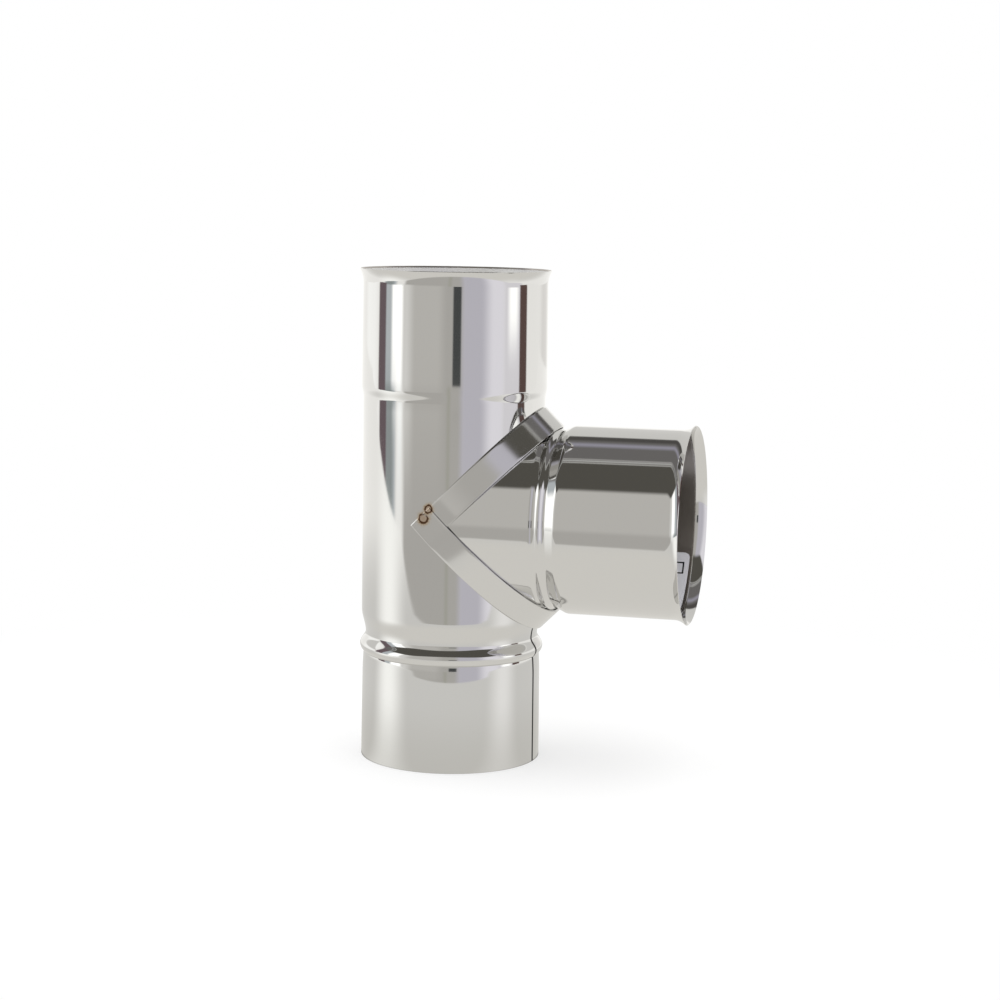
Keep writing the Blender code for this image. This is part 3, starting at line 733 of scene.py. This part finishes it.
# Each panel: name, colour as steel shows it, where it starts and stops over the head, lowest elevation, softness.
ROOF = (
    ("dark_roof", (76, 74, 69), 45.5, 86.5, 34.0, 3.0),
    ("back_roof", (99, 97, 96), 86.5, 132.5, 34.0, 2.0),
    ("back_cloth", (192, 191, 188), 132.5, 200.0, 12.0, 2.0),
    ("roof_edge", (72, 70, 68), 122.5, 131.5, 34.0, 3.0),
    ("lilac_strip", (140, 138, 149), 110.5, 117.0, 34.0, 3.5),
    ("back_slit", (150, 149, 146), 88.0, 89.5, 34.0, 0.8),
    ("front_slit", (160, 159, 156), 82.5, 84.0, 34.0, 0.7),
)
for name, cloth, start, stop, lowest, soft in ROOF:
    colour = hang(sky, name, cloth, colour, overhead, elevation_ray,
                  Left=start, Right=stop, Bottom=lowest, Top=100.0, Soft=soft, Soft_Edge=2.0)
print("roof panels:", len(ROOF))

# %% [markdown]
# The tent's pattern is for mirrors only. Matt things are lit by a plain even sky, so that their colours look as they
# are written, and the camera sees plain white.

# %% Even light for matt surfaces
path = put(sky, "ShaderNodeLightPath")
WHITE = (1.0, 1.0, 1.0, 1.0)
tent_light = put(sky, "ShaderNodeBackground", {"Color": colour, "Strength": 1.0})
even_light = put(sky, "ShaderNodeBackground", {"Color": WHITE, "Strength": 0.8})
white_wall = put(sky, "ShaderNodeBackground", {"Color": WHITE, "Strength": 1.0})
by_mirror = put(sky, "ShaderNodeMixShader", {0: path.outputs["Is Glossy Ray"], 1: even_light.outputs[0],
                                             2: tent_light.outputs[0]})
by_camera = put(sky, "ShaderNodeMixShader", {0: path.outputs["Is Camera Ray"], 1: by_mirror.outputs[0],
                                             2: white_wall.outputs[0]})
put(sky, "ShaderNodeOutputWorld", {"Surface": by_camera.outputs[0]})
print("nodes in the tent:", len(sky.nodes))

# %% [markdown]
# ## Floor
# A wide pale floor carries the tee. Its mesh is one square, a hair below the foot, so that the two share no plane.

# %% Floor
FLOOR_HALF, FLOOR_Z = 3.0, -0.0002
corners = [(x * FLOOR_HALF, y * FLOOR_HALF, FLOOR_Z) for x, y in ((-1, -1), (1, -1), (1, 1), (-1, 1))]
floor_mesh = bpy.data.meshes.new("studio_floor")
floor_mesh.from_pydata(corners, [], [(0, 1, 2, 3)])
floor = bpy.data.objects.new("studio_floor", floor_mesh)
bpy.context.scene.collection.objects.link(floor)
print("floor", 2.0 * FLOOR_HALF, "m wide")

# %% [markdown]
# ## The table in the steel
# In the steel the floor shows as a light table, which glows with painted light, and beyond the table's edge the tent's
# walls go on down. The edge is straight in front, and each front corner is cut off at a slant. The table's painted
# tone follows the distance from the tee, and two soft painted shines on it follow the side that a spot lies on, seen
# from the tee.

# %% Plan of the table
TABLE_FRONT, CORNER_SLANT, CORNER_REACH, EDGE_SOFTNESS = 0.352, -1.12, 1.30, 0.02
table, table_tree, _ = new_material("pale_table")
table_tree.nodes.clear()
spot_on = put(table_tree, "ShaderNodeTexCoord").outputs["Object"]
from_tee = put(
    table_tree, "ShaderNodeVectorMath", {0: spot_on, 1: (MAIN_X, 0.0, 0.0)}, operation="SUBTRACT").outputs[0]
reach = put(table_tree, "ShaderNodeVectorMath", {0: from_tee}, operation="LENGTH").outputs["Value"]
turned_spot = put(table_tree, "ShaderNodeVectorRotate", {"Vector": from_tee, "Angle": -azimuth},
                  rotation_type="Z_AXIS")
plan = put(table_tree, "ShaderNodeSeparateXYZ", {0: turned_spot.outputs[0]})
sideways = maths(table_tree, "ABSOLUTE", plan.outputs["X"])
nearer = maths(table_tree, "MULTIPLY", plan.outputs["Y"], -1.0)
corner_edge = maths(table_tree, "MULTIPLY_ADD", sideways, CORNER_SLANT, CORNER_REACH)
edge_here = maths(table_tree, "MINIMUM", corner_edge, TABLE_FRONT)
on_table = soft_step(table_tree, maths(table_tree, "SUBTRACT", edge_here, nearer), 0.0, EDGE_SOFTNESS)
print("table edge", TABLE_FRONT, "m in front of the tee")

# %% [markdown]
# A ray that a tube mirrors passes the tube's axis a little to one side, so a near spot is seen turned: by the angle
# whose sine is that miss over the distance. With this turn added, a shine runs straight down the tube.

# %% Painted tones of the table
RAY_MISS = 0.031
side_angle = maths(table_tree, "DEGREES", maths(table_tree, "ARCTAN2", plan.outputs["X"], nearer))
passing = maths(table_tree, "DEGREES", maths(table_tree, "ARCSINE", maths(
    table_tree, "MINIMUM", maths(table_tree, "DIVIDE", RAY_MISS, reach), 1.0)))
side_angle = maths(table_tree, "MULTIPLY_ADD", maths(table_tree, "SIGN", plan.outputs["X"]), passing, side_angle)
far_out = soft_step(table_tree, reach, 0.75, 0.30)
glow = mix(table_tree, "RGBA", far_out, shown(194, 193, 190), shown(226, 225, 222))
for name, cloth, left, right, soft in (
        ("left_shine", (242, 242, 239), -103.0, -72.0, 14.0), ("right_shine", (220, 219, 217), 58.0, 84.0, 12.0)):
    glow = hang(table_tree, name, cloth, glow, side_angle, 0.0, Left=left, Right=right, Soft=soft)
# Painted shade: the table is darker close to the tee, where its shadow falls.
painted_shade_near_tee = maths(table_tree, "MULTIPLY", soft_step(table_tree, reach, 0.145, 0.095, rising=False), 0.5)
glow = mix(table_tree, "RGBA", painted_shade_near_tee, glow, shown(176, 174, 168))
# Painted shade: rays that look steeply down on the table see it darker.
slant = put(table_tree, "ShaderNodeLayerWeight", {"Blend": 0.5}).outputs["Facing"]
steep_painted_shade = soft_step(table_tree, slant, 0.6, 0.15, rising=False)
glow = mix(table_tree, "RGBA", steep_painted_shade, glow, shown(199, 197, 192))
# Painted shadow: the table inside the foot of the tube is nearly black.
painted_shadow_under_foot = soft_step(table_tree, reach, BODY_RADIUS, 0.002, rising=False)
glow = mix(table_tree, "RGBA", painted_shadow_under_foot, glow, shown(40, 38, 36))
# Painted light: the floor glows with these tones for the steel only.
in_steel = put(table_tree, "ShaderNodeEmission", {"Color": glow, "Strength": 1.0})
beyond = put(table_tree, "ShaderNodeBsdfTransparent")
seen_in_steel = put(table_tree, "ShaderNodeMixShader", {0: on_table, 1: beyond.outputs[0], 2: in_steel.outputs[0]})

# %% [markdown]
# To the camera the floor is matt near the tee, where it holds the shadow, and fades to the white of the back wall.

# %% The floor as the camera sees it
SHADOW_FADE = 0.6
matt = put(table_tree, "ShaderNodeBsdfDiffuse", {"Color": (0.97, 0.97, 0.97, 1.0)})
white = put(table_tree, "ShaderNodeEmission", {"Color": WHITE, "Strength": 1.0})
away_fade = put(table_tree, "ShaderNodeMapRange", {"Value": reach, "From Min": 0.16, "From Max": 0.45},
                interpolation_type="SMOOTHSTEP")
faint = maths(table_tree, "MAXIMUM", away_fade.outputs[0], SHADOW_FADE)
seen_by_camera = put(table_tree, "ShaderNodeMixShader", {0: faint, 1: matt.outputs[0], 2: white.outputs[0]})
ray_kind = put(table_tree, "ShaderNodeLightPath")
by_eye = put(table_tree, "ShaderNodeMixShader", {0: ray_kind.outputs["Is Camera Ray"], 1: matt.outputs[0],
                                                 2: seen_by_camera.outputs[0]})
surface = put(table_tree, "ShaderNodeMixShader", {0: ray_kind.outputs["Is Glossy Ray"], 1: by_eye.outputs[0],
                                                  2: seen_in_steel.outputs[0]})
put(table_tree, "ShaderNodeOutputMaterial", {"Surface": surface.outputs[0]})
floor_mesh.materials.append(table)
print("nodes in the table:", len(table_tree.nodes))

# %% [markdown]
# ## Lamp
# One wide, weak lamp hangs overhead for the soft shadow on the floor. The steel does not mirror it, because the tent
# already has its own bright panels.

# %% Lamp
LAMP_SIDE, LAMP_POWER = 1.8, 16.0
lamp_data = bpy.data.lights.new("soft_lamp", "AREA")
lamp_data.shape, lamp_data.size, lamp_data.size_y, lamp_data.energy = "RECTANGLE", LAMP_SIDE, LAMP_SIDE, LAMP_POWER
lamp = bpy.data.objects.new("soft_lamp", lamp_data)
lamp.location = (MAIN_X + 0.05, -0.1, 1.5)
lamp.rotation_euler = (Vector((MAIN_X, 0.0, 0.1)) - lamp.location).to_track_quat("-Z", "Y").to_euler()
lamp.visible_glossy = False
bpy.context.scene.collection.objects.link(lamp)
print("lamp", LAMP_SIDE, "m wide,", LAMP_POWER, "W")

bpy.context.scene.view_settings.view_transform = "Standard"
